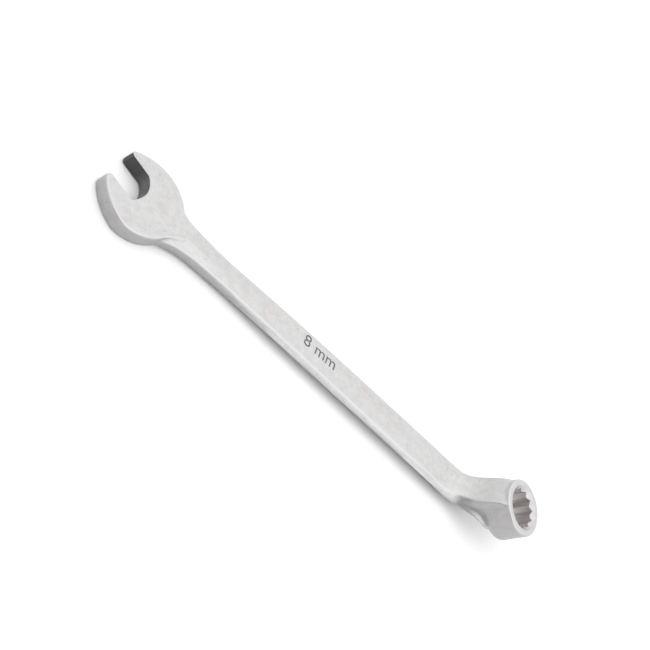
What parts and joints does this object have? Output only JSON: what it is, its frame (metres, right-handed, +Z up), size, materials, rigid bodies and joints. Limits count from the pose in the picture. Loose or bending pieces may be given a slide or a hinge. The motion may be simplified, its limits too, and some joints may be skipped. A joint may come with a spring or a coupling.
{
  "type": "combination wrench",
  "caption": "One-piece forged combination wrench with an angled open jaw, a flat satin shank and a cranked, tilted twelve-point ring.",
  "frame": {"origin": "bottom centre of the wrench's box, level with the open end's lower cheek, which it rests on", "axes": "+X along the shank from the open end to the ring, +Y across it towards the jaw the mouth turns to, +Z up, the way the ring is cranked"},
  "size_m": [0.1278, 0.0194, 0.0141],
  "materials": {
    "satin_chrome": "satin"
  },
  "bodies": {
    "root": {"wrench": "satin_chrome"}
  },
  "joints": []
}
